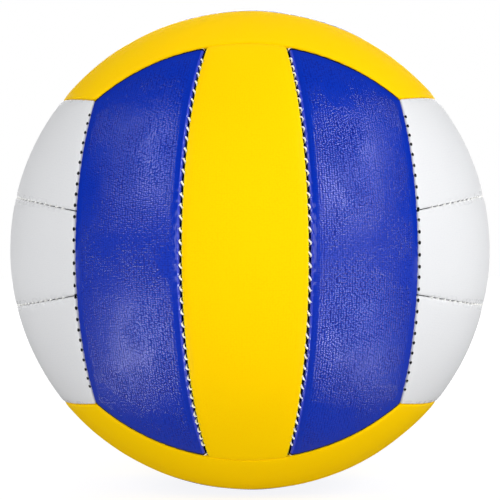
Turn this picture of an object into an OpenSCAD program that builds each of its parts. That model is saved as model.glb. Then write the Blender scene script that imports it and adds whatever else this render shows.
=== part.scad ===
// Stitched volleyball of 18 panels: six faces of three parallel strips.
// Synthetic leather panels turn in round their foam, meet at stitched seams, and
// wrap an inflated rubber bladder with its valve in the middle strip of the top face.
// The origin is the centre of the ball, +Z is up, and the front face looks along -Y.

/* [Ball] */
// Diameter of the inflated ball, over its panels
ball_d = 210; // [205:1:215]

/* [Seam layout] */
// Distance between the two long borders of a face, straight across its middle
face_w = 130.6; // [128:0.2:133]
// Width of a middle strip, half way along it
strip_w = 47.4; // [45:0.2:50]
// Width of a middle strip at its ends
strip_end_w = 32.2; // [30:0.2:35]

/* [Panels] */
// Thickness of the synthetic leather
skin_t = 1.1; // [0.9:0.1:1.4]
// Thickness of the foam under the leather
foam_t = 2; // [1.6:0.1:2.8]
// Radius of a panel's edge, where the leather turns in
edge_r = 1.8; // [1.6:0.1:2.2]
// Clearance between the leather, the foam and the bladder
layer_gap = 0.15; // [0.1:0.05:0.3]

/* [Seams] */
// Gap between the turned-in edges of two panels
seam_gap = 0.6; // [0.6:0.05:0.8]
// Diameter of the sewing thread
thread_d = 0.5; // [0.4:0.05:0.55]
// Distance from one crossing stitch to the next
stitch_pitch = 4.4; // [3.6:0.1:6]
// Angle between a crossing stitch and its seam
stitch_turn = 28; // [20:1:40]
// Length of bare seam between the end of a thread and the seam that it runs into
thread_stop = 1.2; // [1:0.1:3]

/* [Bladder and valve] */
// Thickness of the rubber bladder
bladder_t = 0.6; // [0.5:0.1:1]
// Diameter of the valve body inside the bladder
valve_d = 9; // [8:0.5:11]
// Diameter of the valve's neck, which shows in the cover
neck_d = 6.6; // [6:0.2:7.6]
// Width of the open ring between the neck and the cover
neck_gap = 0.4; // [0.3:0.1:0.8]
// Depth of the neck's end below the panel's surface
neck_inset = 0.5; // [0.3:0.1:1]
// Length of the valve body and neck together
valve_l = 19; // [17:0.5:24]
// Diameter of the valve's flange
flange_d = 26; // [22:1:34]
// Thickness of the valve's flange
flange_t = 1; // [0.8:0.1:1.6]
// Diameter of the valve core
core_d = 4.6; // [4:0.2:5]
// Clearance round the valve core
core_gap = 0.05; // [0.03:0.01:0.1]
// Length of the valve core
core_l = 15; // [14:0.5:16]
// Diameter of the needle hole
needle_d = 2; // [1.6:0.1:2.4]
// Length of the straight part of the needle hole
needle_l = 12; // [8:0.5:12.5]
// Depth of the funnel that leads the needle in
funnel_t = 0.6; // [0.4:0.1:0.8]

/* [Hidden] */
FACES = ["front", "back", "left", "right", "top", "bottom"];
STRIPS_UPRIGHT = ["left", "middle", "right"];
STRIPS_LEVEL = ["lower", "middle", "upper"];
STRIPS_CROSS = ["front", "middle", "rear"];
$fn = 96;

BLUE = "mediumblue";
YELLOW = "gold";
WHITE = "whitesmoke";

// Radii of the layers
ball_r = ball_d / 2;
foam_r = ball_r - skin_t - layer_gap;
seat_r = foam_r - foam_t;
bladder_r = seat_r - layer_gap;

// Overrun of every cut past what it cuts
over = 2;
// How far a rounded edge stands past the two surfaces it blends, so that they cross
edge_lap = 0.03;
// Steps in the rounding of an edge
edge_steps = 5;
// How far a crossing stitch sinks into the thread below it
stitch_bite = 0.14;
// Clearance between a crossing stitch and the two edges it lies on
stitch_clear = 0.05;
// Lean of a border's walls away from square to the ball
border_lean = 8;
// Half the turn that a seam's cut covers, and the margin round a panel's blank
seam_arc = 62;
blank_margin = 3;
// Depth of the cuts past a seam, as a share of the ball's radius
cut_share = 0.4;

// Borders: small circles through the corners (1, 1, 1), where three faces meet
corner_share = 1 / sqrt(3);
border_turn = asin(face_w / ball_d);
border_tilt = atan((corner_share - sin(border_turn)) / (corner_share - cos(border_turn)));
border_polar = 90 - border_turn + border_tilt;

// Strip seams: small circles through a middle strip's corners, on the end borders
strip_turn = asin(strip_w / ball_d);
end_x_share = strip_end_w / ball_d;
end_reach_share = sqrt(1 - pow(end_x_share, 2) - pow(cos(border_polar), 2));
end_z_share = cos(border_tilt) * end_reach_share - sin(border_tilt) * cos(border_polar);
end_y_share = (cos(border_polar) + sin(border_tilt) * end_z_share) / cos(border_tilt);
strip_tilt = atan((end_x_share - sin(strip_turn)) / (end_y_share - cos(strip_turn)));
strip_polar = 90 - strip_turn + strip_tilt;

// Half the turn of each kind of seam about its own axis, and the blanks' angles
border_half = asin(corner_share / sin(border_polar));
strip_half = asin(end_z_share / sin(strip_polar));
end_turn = atan(end_x_share / end_y_share);
blank_rise = asin(end_z_share) + blank_margin;
middle_blank = max(strip_turn, end_turn) + blank_margin;
side_blank_from = min(strip_turn, end_turn) - blank_margin;
side_blank_to = max(45, border_turn) + blank_margin;

// Threads: depth of the running thread and of the stitches that cross over it
stitch_depth = thread_d;
thread_depth = stitch_depth + thread_d - stitch_bite;
stitch_reach = groove_half(stitch_depth + thread_d / 2) - stitch_clear;
stitch_l = 2 * (stitch_reach - thread_d / 2 * cos(stitch_turn)) / sin(stitch_turn);

// Valve
neck_top = ball_r - neck_inset;
flange_r = bladder_r - bladder_t - layer_gap;

function strip_names(face) =
    face == "front" || face == "back" ? STRIPS_UPRIGHT :
    face == "left" || face == "right" ? STRIPS_LEVEL : STRIPS_CROSS;
function part_name(kind, face, strip) = str(kind, "_", face, "_", strip_names(face)[strip]);
function panel_color(face, strip) =
    face == "left" || face == "right" ? WHITE :
    (face == "front" || face == "back") == (strip == 1) ? YELLOW : BLUE;

// Point in a seam's half plane, from its distance and its angle to the seam's axis
function at(r, polar) = [r * sin(polar), r * cos(polar)];
// Half the width of the groove between two rounded edges, at a depth
function groove_half(depth) = seam_gap / 2 + edge_r - sqrt(pow(edge_r, 2) - pow(edge_r - depth, 2));

// Turns the front face's pieces to another face
module on_face(face) {
    far = face == "back" || face == "top" || face == "right";
    turn = face == "front" || face == "back" ? 0 : face == "top" || face == "bottom" ? 120 : 240;
    rotate(turn, [1, 1, 1]) rotate([far ? 180 : 0, 0, 0]) children();
}

// The same piece on the other side of the face
module other_side() { rotate([0, 180, 0]) children(); }

// Puts a piece that is made about +Z on the axis of the face's right strip seam or border,
// or on the axis of the border at the upper end of its strips
module strip_axis() { rotate([0, 90, strip_tilt]) children(); }
module border_axis() { rotate([0, 90, border_tilt]) children(); }
module end_axis() { rotate([90 + border_tilt, 0, 0]) children(); }

// What a panel loses past a seam. The seam is a circle about +Z. side is 1 where the panel
// lies outside that circle and -1 where it lies inside, and facing turns the cut to it.
module past_seam(polar, wall_polar, side, inset, low, high, spread, facing, rounded) {
    along = [sin(wall_polar), cos(wall_polar)];
    across = side * [cos(wall_polar), -sin(wall_polar)];
    wall = at(ball_r, polar) * across + inset;
    far = max(abs(wall), abs(wall - spread));
    foot = sqrt(pow(low, 2) - pow(far, 2)) * along;
    head = high * along;
    hub_r = ball_r - edge_r + edge_lap;
    hub_across = wall + edge_r - edge_lap;
    hub = sqrt(pow(hub_r, 2) - pow(hub_across, 2)) * along + hub_across * across;
    out = hub / hub_r;
    step = 90 / edge_steps;
    rotate_extrude(angle = 2 * seam_arc, start = facing - seam_arc) {
        polygon([
            foot + wall * across,
            head + wall * across,
            head + (wall - spread) * across,
            foot + (wall - spread) * across
        ]);
        if (rounded) polygon(concat(
            [for (i = [0:edge_steps]) hub + edge_r * (sin(i * step) * out - cos(i * step) * across)],
            [high * out, head + (wall - edge_lap) * across]
        ));
    }
}

// One of the four cuts that bound a strip of the front face
module strip_cut(cut, middle, inset, low, high, rounded) {
    spread = cut_share * ball_r;
    border_wall = border_polar + border_lean;
    if (cut == 0)
        end_axis() past_seam(border_polar, border_wall, -1, inset, low, high, spread, 90, rounded);
    if (cut == 1)
        other_side() strip_cut(0, middle, inset, low, high, rounded);
    if (cut == 2)
        strip_axis() past_seam(strip_polar, 90, middle ? 1 : -1, inset, low, high, spread, -90, rounded);
    if (cut == 3 && middle)
        other_side() strip_cut(2, middle, inset, low, high, rounded);
    if (cut == 3 && !middle)
        border_axis() past_seam(border_polar, border_wall, 1, inset, low, high, spread, -90, rounded);
}

// Stretch of a hollow ball round the front, which a strip is cut from
module blank(inner, outer, from, to) {
    rotate_extrude(angle = to - from, start = from - 90) intersection() {
        difference() {
            circle(outer);
            circle(inner);
        }
        polygon([[0, 0], at(2 * outer, 90 - blank_rise), [2 * outer, 0], at(2 * outer, 90 + blank_rise)]);
    }
}

// The middle or the right strip of the front face, between two radii, with its edges drawn in
// by inset from the seams. The cuts come one after another.
module strip_layer(middle, inner, outer, inset, rounded, cut = 3) {
    if (cut < 0)
        blank(inner, outer, middle ? -middle_blank : side_blank_from, middle ? middle_blank : side_blank_to);
    else difference() {
        strip_layer(middle, inner, outer, inset, rounded, cut - 1);
        strip_cut(cut, middle, inset, inner - over, outer + over, rounded);
    }
}

// Puts a strip's layer in its place on a face, with the valve's hole where the valve is
module placed_strip(face, strip) {
    difference() {
        on_face(face) {
            if (strip == 0) other_side() children();
            else children();
        }
        if (face == "top" && strip == 1) cylinder(d = neck_d + 2 * neck_gap, h = ball_d);
    }
}

// Leather panel: a tray of skin whose rounded edges turn in as far as the bladder
module panel(face, strip) {
    edge = seam_gap / 2;
    color(panel_color(face, strip)) placed_strip(face, strip) difference() {
        strip_layer(strip == 1, seat_r, ball_r, edge, true);
        strip_layer(strip == 1, seat_r - over, ball_r - skin_t, edge + skin_t, false);
    }
}

// Foam backing that fills the tray
module foam(face, strip) {
    color("ivory") placed_strip(face, strip)
        strip_layer(strip == 1, seat_r, foam_r, seam_gap / 2 + skin_t + layer_gap, false);
}

// Thread along a seam about +Z, facing -Y: a running thread with stitches that cross over it
module seam_thread(polar, wall_polar, half) {
    groove_polar = polar - edge_r * tan(wall_polar - polar) / ball_r * 180 / PI;
    run = at(ball_r - thread_depth, groove_polar);
    cross = at(ball_r - stitch_depth, groove_polar);
    thread_half = half - thread_stop / run.x * 180 / PI;
    stitch_step = stitch_pitch / run.x * 180 / PI;
    count = floor(thread_half / stitch_step - 0.5);
    rotate_extrude(angle = 2 * thread_half, start = -90 - thread_half)
        translate(run) circle(d = thread_d);
    for (i = [-count:count]) rotate(i * stitch_step - 90)
        translate([cross.x, 0, cross.y]) rotate([0, polar, 0]) rotate([0, 90, 90 + stitch_turn])
            cylinder(d = thread_d, h = stitch_l, center = true);
}

// The two threads beside a face's middle strip
module strip_thread(face) {
    color(WHITE) on_face(face) {
        strip_axis() seam_thread(strip_polar, 90, strip_half);
        other_side() strip_axis() seam_thread(strip_polar, 90, strip_half);
    }
}

// The two threads along a face's long borders
module border_thread(face) {
    color(WHITE) on_face(face) {
        border_axis() seam_thread(border_polar, border_polar + border_lean, border_half);
        other_side() border_axis() seam_thread(border_polar, border_polar + border_lean, border_half);
    }
}

// Rubber bladder, open only where the valve's neck passes
module bladder() {
    color("dimgray") difference() {
        sphere(bladder_r);
        sphere(bladder_r - bladder_t);
        cylinder(d = neck_d + 2 * layer_gap, h = ball_d);
    }
}

// Rubber valve body: a neck out to the cover, a flange inside the bladder and a socket below
module valve_body() {
    color("black") difference() {
        union() {
            translate([0, 0, neck_top - valve_l]) cylinder(d = neck_d, h = valve_l);
            intersection() {
                translate([0, 0, neck_top - valve_l]) cylinder(d = valve_d, h = valve_l);
                sphere(flange_r - flange_t / 2);
            }
            intersection() {
                cylinder(d = flange_d, h = ball_d);
                difference() {
                    sphere(flange_r);
                    sphere(flange_r - flange_t);
                }
            }
        }
        translate([0, 0, neck_top - core_l - core_gap]) cylinder(d = core_d + 2 * core_gap, h = ball_r);
    }
}

// Valve core: a rubber plug with a funnel and the blind needle hole
module valve_core() {
    funnel_d = needle_d + 2 * funnel_t;
    color("darkslategray") translate([0, 0, neck_top]) difference() {
        translate([0, 0, -core_l]) cylinder(d = core_d, h = core_l);
        translate([0, 0, -funnel_t - needle_l]) cylinder(d = needle_d, h = core_l);
        translate([0, 0, -funnel_t]) cylinder(d1 = needle_d, d2 = funnel_d, h = funnel_t);
    }
}

for (face = FACES) {
    for (strip = [0:2]) {
        panel(face, strip);
        foam(face, strip);
    }
    strip_thread(face);
    border_thread(face);
}
bladder();
valve_body();
valve_core();
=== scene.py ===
"""Stitched volleyball: leather panels, foam, seam thread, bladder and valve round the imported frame.

Six faces of three strips each cover the ball. Every strip is shaped in the pose of the front face, which
looks along -Y with its strips upright, and is then turned to its own face. Lengths are in metres, angles in
radians.
"""

from __future__ import annotations

import logging
import math
from dataclasses import dataclass, field, replace
from enum import Enum
from functools import cached_property

import bpy
import numpy as np
from mathutils import Matrix, Vector


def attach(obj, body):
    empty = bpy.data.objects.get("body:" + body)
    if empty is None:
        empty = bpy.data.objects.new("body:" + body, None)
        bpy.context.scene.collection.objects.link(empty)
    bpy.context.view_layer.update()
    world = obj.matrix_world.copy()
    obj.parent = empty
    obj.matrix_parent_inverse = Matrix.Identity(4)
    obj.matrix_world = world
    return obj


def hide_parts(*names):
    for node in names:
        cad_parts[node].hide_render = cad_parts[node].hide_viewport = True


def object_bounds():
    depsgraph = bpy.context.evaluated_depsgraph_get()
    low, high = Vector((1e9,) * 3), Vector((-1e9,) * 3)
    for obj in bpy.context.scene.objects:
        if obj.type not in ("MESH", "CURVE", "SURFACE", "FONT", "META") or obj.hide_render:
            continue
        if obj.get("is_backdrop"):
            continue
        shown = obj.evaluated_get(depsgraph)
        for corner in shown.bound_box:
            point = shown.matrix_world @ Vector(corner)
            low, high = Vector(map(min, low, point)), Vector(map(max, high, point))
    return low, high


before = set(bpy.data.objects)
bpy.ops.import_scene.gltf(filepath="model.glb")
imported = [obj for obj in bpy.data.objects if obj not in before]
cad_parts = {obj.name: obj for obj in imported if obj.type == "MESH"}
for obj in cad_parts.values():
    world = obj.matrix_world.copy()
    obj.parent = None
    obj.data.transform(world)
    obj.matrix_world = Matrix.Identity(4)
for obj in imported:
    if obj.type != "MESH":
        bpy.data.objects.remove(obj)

LOG = logging.getLogger("volleyball")
MM = 0.001
BODY = "root"

Array = np.ndarray
Faces = list[list[int]]
Profile = list[tuple[float, float]]
Colour = tuple[float, float, float, float]
Material = bpy.types.Material
Socket = bpy.types.NodeSocket


class Hue(Enum):
    """Colours of the leather, each with the record's slot for it."""

    BLUE = "blue_leather"
    YELLOW = "yellow_leather"
    WHITE = "white_leather"


class Strip(Enum):
    """Place of a strip across its face."""

    FIRST = 0
    MIDDLE = 1
    LAST = 2


class Face(Enum):
    """Faces of the ball.

    Attributes:
        title: Name of the face.
        strips: Names of its strips.
        turns: Places by which it rolls the front face's three axes.
        far: Whether it lies opposite to the front, left or bottom face.
        number: Number of the face.
    """

    FRONT = ("front", ("left", "middle", "right"), 0, False)
    BACK = ("back", ("left", "middle", "right"), 0, True)
    LEFT = ("left", ("lower", "middle", "upper"), 2, False)
    RIGHT = ("right", ("lower", "middle", "upper"), 2, True)
    TOP = ("top", ("front", "middle", "rear"), 1, True)
    BOTTOM = ("bottom", ("front", "middle", "rear"), 1, False)

    def __init__(self, title: str, strips: tuple[str, str, str], turns: int, far: bool) -> None:
        """Keeps each part of the face's value under a name, and numbers the face."""
        self.title, self.strips, self.turns, self.far = title, strips, turns, far
        self.number = len(type(self).__members__)

    def turned(self, points: Array, strip: Strip = Strip.LAST) -> Array:
        """Turns points of the front face to this face.

        Args:
            points: Points or directions of the front face's middle or last strip, one in each row.
            strip: Strip to turn them to. The first strip is the last one, turned half way round.

        Returns:
            The same points on this face.
        """
        if strip is Strip.FIRST:
            points = other_side(points)
        if self.far:
            points = points * np.array([1, -1, -1])
        return np.roll(points, self.turns, axis=-1)

    def strip_name(self, strip: Strip) -> str:
        """Names a strip of this face as the frame's nodes do."""
        return f"{self.title}_{self.strips[strip.value]}"

    def hue(self, strip: Strip) -> Hue:
        """Colour of a strip: white on the left and right, and blue and yellow elsewhere.

        Args:
            strip: Place of the strip in this face.

        Returns:
            Its colour.
        """
        if self in (Face.LEFT, Face.RIGHT):
            return Hue.WHITE
        upright = self in (Face.FRONT, Face.BACK)
        return Hue.YELLOW if upright == (strip is Strip.MIDDLE) else Hue.BLUE


def other_side(points: Array) -> Array:
    """Turns points of the front face half way round, to its other strip or seam."""
    return points * np.array([-1, 1, -1])


def smooth(x: Array) -> Array:
    """Rises smoothly from 0 to 1 as x does."""
    x = np.clip(x, 0, 1)
    return x * x * (3 - 2 * x)


def bell(x: Array, width: float) -> Array:
    """Bell curve of height 1."""
    return np.exp(-((x / width) ** 2))


def greater(one: Array, two: Array, power: int = 4) -> Array:
    """The greater of two sizes, rounded where they meet: the lower the power, the rounder."""
    return (one**power + two**power) ** (1 / power)


@dataclass(frozen=True)
class Swell:
    """Gentle unevenness over the ball: a sum of plane waves with fixed random directions.

    Attributes:
        height: Typical size of the result.
        length: Shortest wave length.
        seed: Seed of the random draws.
        waves: Number of waves.
        longest: Longest wave length, in shortest ones.
    """

    height: float
    length: float
    seed: int
    waves: int = 24
    longest: float = 3

    def at(self, points: Array) -> Array:
        """Value of the unevenness.

        Args:
            points: Points on the ball, one in each row.

        Returns:
            One value for each point.
        """
        draw = np.random.RandomState(self.seed)
        ways = draw.normal(size=(self.waves, 3))
        ways /= np.linalg.norm(ways, axis=1, keepdims=True)
        pace = 2 * math.pi / (self.length * draw.uniform(1, self.longest, self.waves))
        start = draw.uniform(0, 2 * math.pi, self.waves)
        total = np.sin(points @ (ways * pace[:, None]).T + start).sum(axis=1)
        return self.height * total / math.sqrt(self.waves / 2)


@dataclass(frozen=True)
class Seam:
    """Seam along a small circle of the ball, with its row of stitches.

    Attributes:
        axis: Axis of the circle.
        middle: Direction square to the axis, to the middle of the seam.
        polar: Angle between the axis and the seam.
        half: Half the angle that the seam turns about its axis.
        ball_r: Radius of the ball.
        serial: Number of the seam, which seeds its stitches.
        owner: Face that the seam belongs to.
        gap: Gap between the two panels.
        slot: How much less each stitch draws the two edges together.
        bite: How hard its stitches dent the leather, from 0 to 1.
        sunk: How much deeper its stitches lie than those of a strip seam.
        pitch: Distance from stitch to stitch.
        bare: Length at either end that has no stitch.
        stray: How far a stitch may lie from its even place.
        force: Least and greatest pull of a stitch.
        seed: Seed of the random draws for the first seam's stitches.
    """

    axis: Array
    middle: Array
    polar: float
    half: float
    ball_r: float
    serial: int = 0
    owner: Face | None = None

    gap: float = 0.62 * MM
    slot: float = 0.0
    bite: float = 1.0
    sunk: float = 0.0

    pitch: float = 4.4 * MM
    bare: float = 2.6 * MM
    stray: float = 0.28 * MM
    force: tuple[float, float] = (0.65, 1.25)
    seed: int = 100

    @property
    def along(self) -> Array:
        """Direction in which the seam runs at its middle."""
        return np.cross(self.middle, self.axis)

    @property
    def run_r(self) -> float:
        """Radius of the seam's own circle."""
        return self.ball_r * math.sin(self.polar)

    @cached_property
    def stitches(self) -> tuple[Array, Array]:
        """The stitches of the seam.

        Returns:
            Their places along it, and how hard each is pulled.
        """
        count = int((self.half * self.run_r - self.bare) / self.pitch - 0.5)
        draw = np.random.RandomState(self.seed + self.serial)
        places = np.arange(-count, count + 1) * self.pitch
        places = places + draw.uniform(-self.stray, self.stray, places.size)
        return places, draw.uniform(*self.force, places.size)

    def turned(self, face: Face, flipped: bool, **changes: float) -> Seam:
        """The same seam on another face.

        Args:
            face: Face to turn it to from the front face.
            flipped: Whether it goes to the other side of that face.
            changes: Values of the seam that change on the way.

        Returns:
            The new seam, which belongs to that face.
        """
        strip = Strip.FIRST if flipped else Strip.LAST
        axis, middle = face.turned(self.axis, strip), face.turned(self.middle, strip)
        return replace(self, axis=axis, middle=middle, owner=face, **changes)

    def like(self, other: Seam) -> bool:
        """Whether this seam lies where another one does."""
        return bool(min(self.axis @ other.axis, self.middle @ other.middle) > 1 - 1e-6)

    def place(self, travel: Array, aside: Array, depth: Array) -> Array:
        """Points beside the seam.

        Args:
            travel: Distance along the seam from its middle.
            aside: Distance from the seam, away from its axis.
            depth: Depth below the ball's surface.

        Returns:
            One point in each row.
        """
        turn = travel / self.run_r
        polar = self.polar + aside / self.ball_r
        ring = np.outer(np.cos(turn), self.middle) + np.outer(np.sin(turn), self.along)
        way = np.cos(polar)[:, None] * self.axis + np.sin(polar)[:, None] * ring
        return way * (self.ball_r - depth)[:, None]

    def read(self, ways: Array) -> tuple[Array, Array]:
        """Reads where directions lie beside the seam.

        Args:
            ways: Directions from the ball's centre, one in each row.

        Returns:
            Distance along the seam from its middle, and distance from it, away from its axis.
        """
        aside = self.ball_r * (np.arccos(np.clip(ways @ self.axis, -1, 1)) - self.polar)
        travel = self.run_r * np.arctan2(ways @ self.along, ways @ self.middle)
        return travel, aside


@dataclass(frozen=True)
class Layout:
    """Seam pattern of the ball, worked out from the sizes of one face.

    Attributes:
        ball_r: Radius of the ball.
        face_w: Distance between the two long borders of a face, straight across.
        strip_w: Width of a middle strip, half way along it.
        strip_end_w: Width of a middle strip at its ends.
        strip_gap: Gap between the strips of a face.
        white_gap: The same on the left and right faces, whose seams are flatter.
        border_gap: Gap between the panels at a border, which is drawn tight.
        border_slot: Slot of a border's stitches.
        border_bite: Bite of a border's stitches.
        border_sunk: How much deeper the stitches of the borders lie.
        corner: Place of a face's corner on each axis, as a share of the radius.
    """

    ball_r: float
    face_w: float = 130.6 * MM
    strip_w: float = 47.4 * MM
    strip_end_w: float = 32.2 * MM
    strip_gap: float = 0.88 * MM
    white_gap: float = 0.3 * MM
    border_gap: float = 0.14 * MM
    border_slot: float = 0.07 * MM
    border_bite: float = 0.2
    border_sunk: float = 0.7 * MM
    corner: float = 1 / math.sqrt(3)

    @cached_property
    def border_turn(self) -> float:
        """Longitude of the long border at its middle."""
        return math.asin(self.face_w / 2 / self.ball_r)

    @cached_property
    def border_tilt(self) -> float:
        """Turn of the border's axis from the face's side."""
        return self._tilt(self.border_turn, self.corner, self.corner)

    @cached_property
    def strip_turn(self) -> float:
        """Longitude of the strip seam at its middle."""
        return math.asin(self.strip_w / 2 / self.ball_r)

    @cached_property
    def strip_end(self) -> tuple[float, float, float]:
        """Corner of the middle strip.

        Returns:
            Its place to the right, forwards and up, as shares of the radius.
        """
        across = self.strip_end_w / 2 / self.ball_r
        level = math.cos(self.border.polar)
        reach = math.sqrt(1 - across**2 - level**2)
        up = math.cos(self.border_tilt) * reach - math.sin(self.border_tilt) * level
        forwards = (level + math.sin(self.border_tilt) * up) / math.cos(self.border_tilt)
        return across, forwards, up

    @cached_property
    def strip_tilt(self) -> float:
        """Turn of the strip seam's axis from the face's side."""
        return self._tilt(self.strip_turn, *self.strip_end[:2])

    @cached_property
    def strip_seam(self) -> Seam:
        """Seam on the right of the front face's middle strip."""
        return self._upright(self.strip_turn, self.strip_tilt, self.strip_end[2])

    @cached_property
    def border(self) -> Seam:
        """Long border on the right of the front face."""
        return self._upright(self.border_turn, self.border_tilt, self.corner, gap=self.border_gap,
                             slot=self.border_slot, bite=self.border_bite, sunk=self.border_sunk)

    @staticmethod
    def _tilt(turn: float, across: float, forwards: float) -> float:
        """Turn of the axis of an upright seam from its longitude and the place of its upper end."""
        return math.atan((across - math.sin(turn)) / (forwards - math.cos(turn)))

    def _upright(self, turn: float, tilt: float, end_up: float, **values: float) -> Seam:
        """Seam on the right of the front face.

        Args:
            turn: Longitude of the seam at its middle.
            tilt: Turn of its axis from the face's side.
            end_up: Height of its upper end, as a share of the radius.
            values: Values in which it isn't a usual seam.

        Returns:
            The seam.
        """
        polar = math.pi / 2 - turn + tilt
        axis = np.array([math.cos(tilt), math.sin(tilt), 0])
        middle = np.array([math.sin(tilt), -math.cos(tilt), 0])
        return Seam(axis, middle, polar, math.asin(end_up / math.sin(polar)), self.ball_r, **values)

    def face_seams(self, face: Face) -> dict[str, list[Seam]]:
        """Seams that belong to a face.

        Args:
            face: The face.

        Returns:
            Its two strip seams and its two long borders.
        """
        first = 4 * face.number
        gap = self.white_gap if face.hue(Strip.MIDDLE) is Hue.WHITE else self.strip_gap
        sides = (False, True)
        return {
            "strip": [self.strip_seam.turned(face, side, serial=first + side, gap=gap) for side in sides],
            "border": [self.border.turned(face, side, serial=first + 2 + side) for side in sides],
        }

    @cached_property
    def seams(self) -> list[Seam]:
        """All 24 seams of the ball."""
        return [seam for face in Face for pair in self.face_seams(face).values() for seam in pair]

    def seams_round(self, face: Face, strip: Strip) -> list[Seam]:
        """The four seams that bound a strip.

        Args:
            face: Face of the strip.
            strip: Its place in the face.

        Returns:
            Its two long seams, then the two at its ends.
        """
        beside = self.border
        if strip is Strip.MIDDLE:
            beside = self.strip_seam.turned(Face.FRONT, True)
        end = self.border.turned(Face.TOP, True)
        local = [self.strip_seam, beside, end, end.turned(Face.FRONT, True)]
        wanted = [seam.turned(face, strip is Strip.FIRST) for seam in local]
        return [seam for place in wanted for seam in self.seams if seam.like(place)]


@dataclass(frozen=True)
class Cut:
    """Shape of one strip as a net of two families of small circles, upright and level.

    Attributes:
        layout: Seam pattern.
        middle: Whether this is a middle strip, and not the one on its right.
        edge: Width along each side in which the net keeps an even distance from the seam.
    """

    layout: Layout
    middle: bool
    edge: float = 5 * MM

    @property
    def sides(self) -> tuple[float, float, float, float]:
        """The two long sides.

        Returns:
            Longitude of the left and of the right one, then turn of their axes.
        """
        lay = self.layout
        if self.middle:
            return -lay.strip_turn, lay.strip_turn, -lay.strip_tilt, lay.strip_tilt
        return lay.strip_turn, lay.border_turn, lay.strip_tilt, lay.border_tilt

    @property
    def end_turn(self) -> float:
        """Latitude of the strip's ends, half way across."""
        return math.pi / 2 - self.layout.border_turn

    @property
    def width(self) -> float:
        """Width of the strip, half way along it."""
        return self.layout.ball_r * (self.sides[1] - self.sides[0])

    @property
    def length(self) -> float:
        """Length between the two ends' circles, along the face's middle."""
        return self.layout.ball_r * 2 * self.end_turn

    def margins(self, across: Array, along: Array) -> tuple[Array, Array]:
        """Distance from the nearer long side, and from the nearer end."""
        return np.minimum(across, self.width - across), np.minimum(along, self.length - along)

    def ways(self, across: Array, along: Array) -> Array:
        """Directions of points of the strip, in the pose of the front face.

        Args:
            across: Distance from the left side.
            along: Distance from the lower end.

        Returns:
            One unit direction in each row.
        """
        turn_from, _, tilt_from, tilt_to = self.sides
        ball_r = self.layout.ball_r
        share = np.clip((across - self.edge) / (self.width - 2 * self.edge), 0, 1)
        tilt = tilt_from + (tilt_to - tilt_from) * share
        level_a = np.sin(turn_from + across / ball_r - tilt)
        share = np.clip((along - self.edge) / (self.length - 2 * self.edge), 0, 1)
        lean = (math.pi / 2 - self.layout.border_tilt) * (2 * share - 1)
        level_b = np.sin(along / ball_r - self.end_turn - lean)
        none = np.zeros_like(tilt)
        normal_a = np.stack([np.cos(tilt), np.sin(tilt), none], axis=-1)
        normal_b = np.stack([none, np.sin(lean), np.cos(lean)], axis=-1)
        both = np.sum(normal_a * normal_b, axis=-1)
        square = 1 - both**2
        part_a = (level_a - both * level_b) / square
        part_b = (level_b - both * level_a) / square
        flat = part_a[:, None] * normal_a + part_b[:, None] * normal_b
        rest = np.sqrt(np.maximum(1 - np.sum(flat**2, axis=-1), 0) / square)
        return flat - rest[:, None] * np.cross(normal_b, normal_a)


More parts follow.
